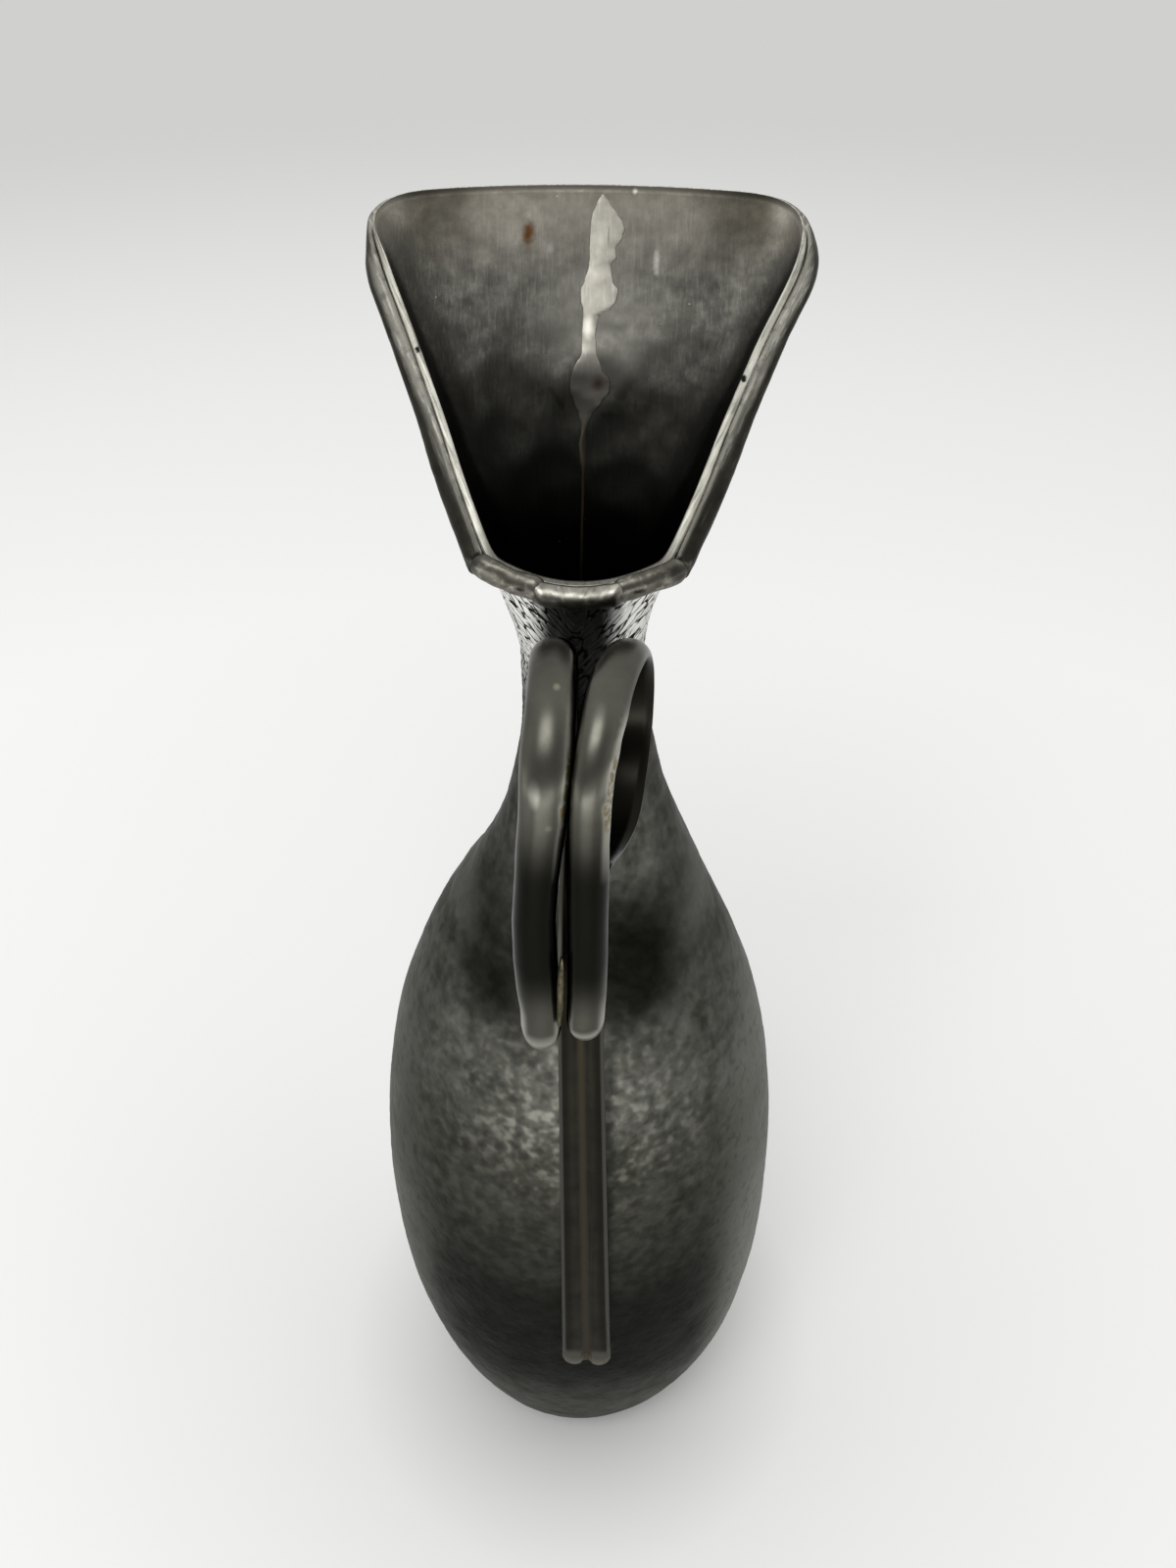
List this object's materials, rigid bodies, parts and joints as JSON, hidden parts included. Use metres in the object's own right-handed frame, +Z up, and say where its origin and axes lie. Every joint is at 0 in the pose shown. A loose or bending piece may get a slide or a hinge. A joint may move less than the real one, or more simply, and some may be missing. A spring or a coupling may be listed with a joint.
{
  "type": "ewer",
  "caption": "Tall hammered pewter ewer with a round belly, narrow neck, wide flared spout, wired rim and a strap handle carrying a pair of looped scrolls; for pouring.",
  "frame": {"origin": "centre of the underside of the base disc", "axes": "+Z up along the axis of the belly, +Y towards the spout, -Y towards the handle, +X to the right seen from behind the handle"},
  "size_m": [0.094, 0.1059, 0.3001],
  "materials": {
    "body_shell": "dark hammered pewter, satin",
    "base_disc": "dark pewter, satin",
    "base_solder": "soft solder",
    "front_seam_solder": "bright soft solder",
    "lip_rim_wire": "worn pewter",
    "back_rim_wire": "worn pewter",
    "corner_solder_left": "lumpy soft solder",
    "corner_solder_right": "lumpy soft solder",
    "handle_spine": "dark pewter, satin",
    "spine_head_solder": "soft solder",
    "spine_foot_solder": "soft solder",
    "scroll_left": "smooth dark pewter",
    "scroll_right": "smooth dark pewter",
    "stem_solder": "rough soft solder"
  },
  "bodies": {
    "root": {"body_shell": "body_shell", "base_disc": "base_disc", "base_solder": "base_solder", "front_seam_solder": "front_seam_solder", "lip_rim_wire": "lip_rim_wire", "back_rim_wire": "back_rim_wire", "corner_solder_left": "corner_solder_left", "corner_solder_right": "corner_solder_right", "handle_spine": "handle_spine", "spine_head_solder": "spine_head_solder", "spine_foot_solder": "spine_foot_solder", "scroll_left": "scroll_left", "scroll_right": "scroll_right", "stem_solder": "stem_solder"}
  },
  "joints": []
}
